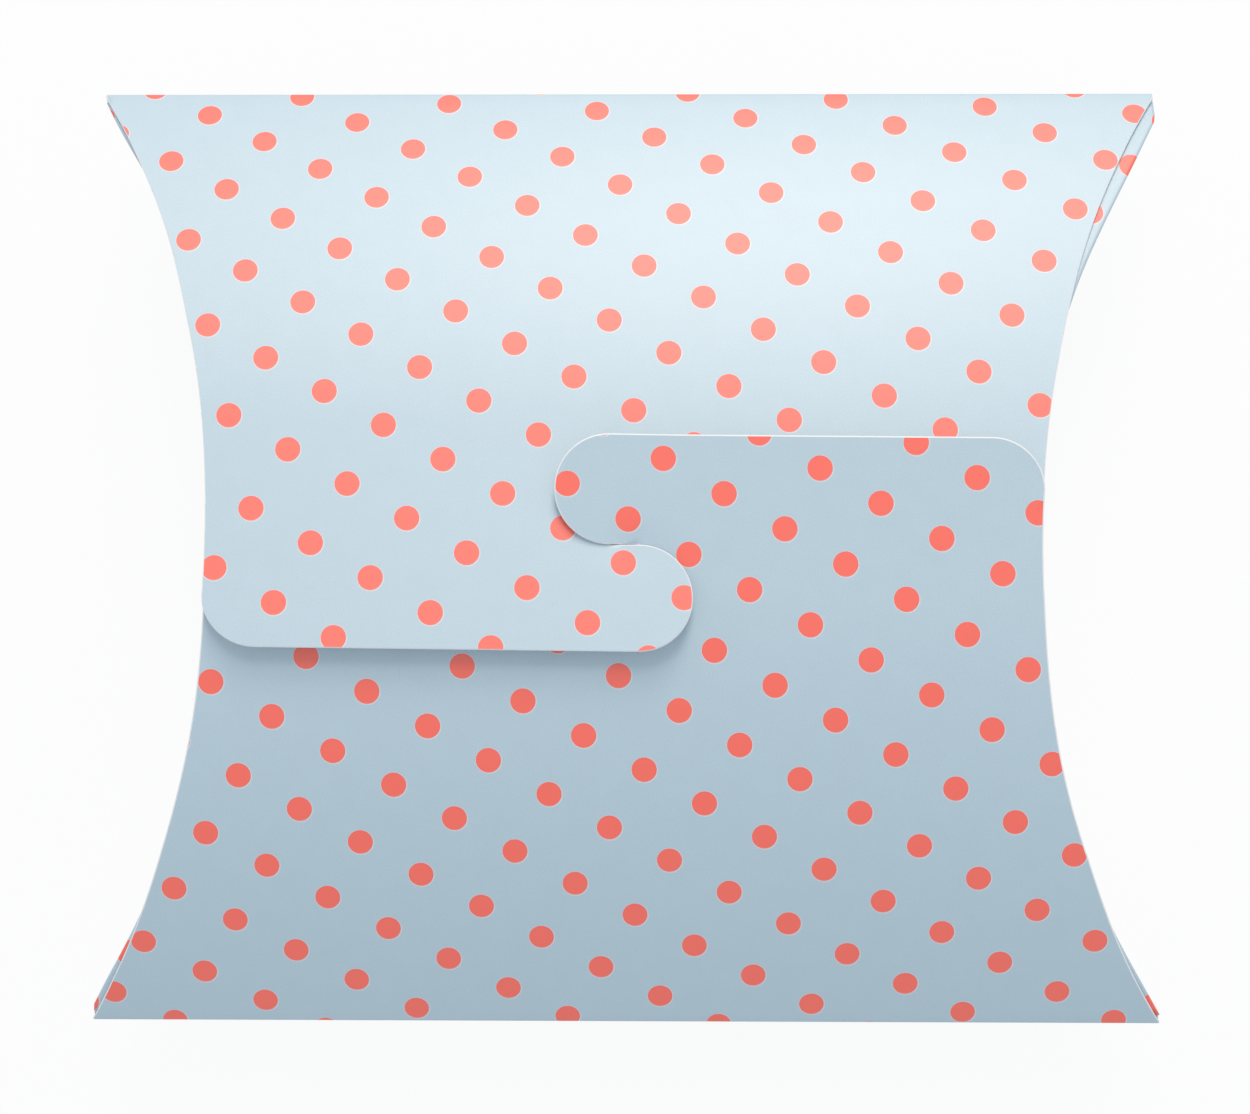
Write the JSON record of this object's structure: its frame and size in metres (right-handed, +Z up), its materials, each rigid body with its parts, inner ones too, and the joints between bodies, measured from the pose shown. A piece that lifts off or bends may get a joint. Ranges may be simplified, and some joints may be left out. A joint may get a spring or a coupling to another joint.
{
  "type": "pillow box",
  "caption": "Curved pillow-shaped gift box of printed card, with two front flaps that meet in an S-shaped lock and scooped ends.",
  "frame": {"origin": "middle of the flat foot along the back, on the surface the box lies on", "axes": "+X along the folds to the right, +Y towards the top fold, +Z up through the front"},
  "size_m": [0.13, 0.114, 0.0339],
  "materials": {
    "printed_card": "printed, uncoated card",
    "folded_card": "printed, uncoated card"
  },
  "bodies": {
    "back": {"back_panel": "printed_card", "top_fold": "folded_card", "bottom_fold": "folded_card", "left_crease": "folded_card", "right_crease": "folded_card"},
    "upper_flap": {"upper_front_flap": "printed_card", "left_tongue_hook": "printed_card"},
    "lower_flap": {"lower_front_flap": "printed_card", "right_tongue_hook": "printed_card"},
    "left_end": {"left_end_flap": "printed_card"},
    "right_end": {"right_end_flap": "printed_card"}
  },
  "joints": [
    {"name": "upper_flap_fold", "type": "hinge", "parent": "back", "child": "upper_flap", "pos_m": [0, 0.0565, 0.0158], "axis": [-1, 0, 0], "range_deg": [0, 110], "deforming": ["left_tongue_hook"]},
    {"name": "lower_flap_fold", "type": "hinge", "parent": "back", "child": "lower_flap", "pos_m": [0, -0.0565, 0.0158], "axis": [1, 0, 0], "range_deg": [0, 110], "deforming": ["right_tongue_hook"]},
    {"name": "left_end_fold", "type": "hinge", "parent": "back", "child": "left_end", "pos_m": [-0.0485, 0, 0.0004], "axis": [0, -1, 0], "range_deg": [0, 60]},
    {"name": "right_end_fold", "type": "hinge", "parent": "back", "child": "right_end", "pos_m": [0.0485, 0, 0.0004], "axis": [0, 1, 0], "range_deg": [0, 60]}
  ],
  "couplings": [
    {"joint": "lower_flap_fold", "follows": "upper_flap_fold", "ratio": 1}
  ]
}
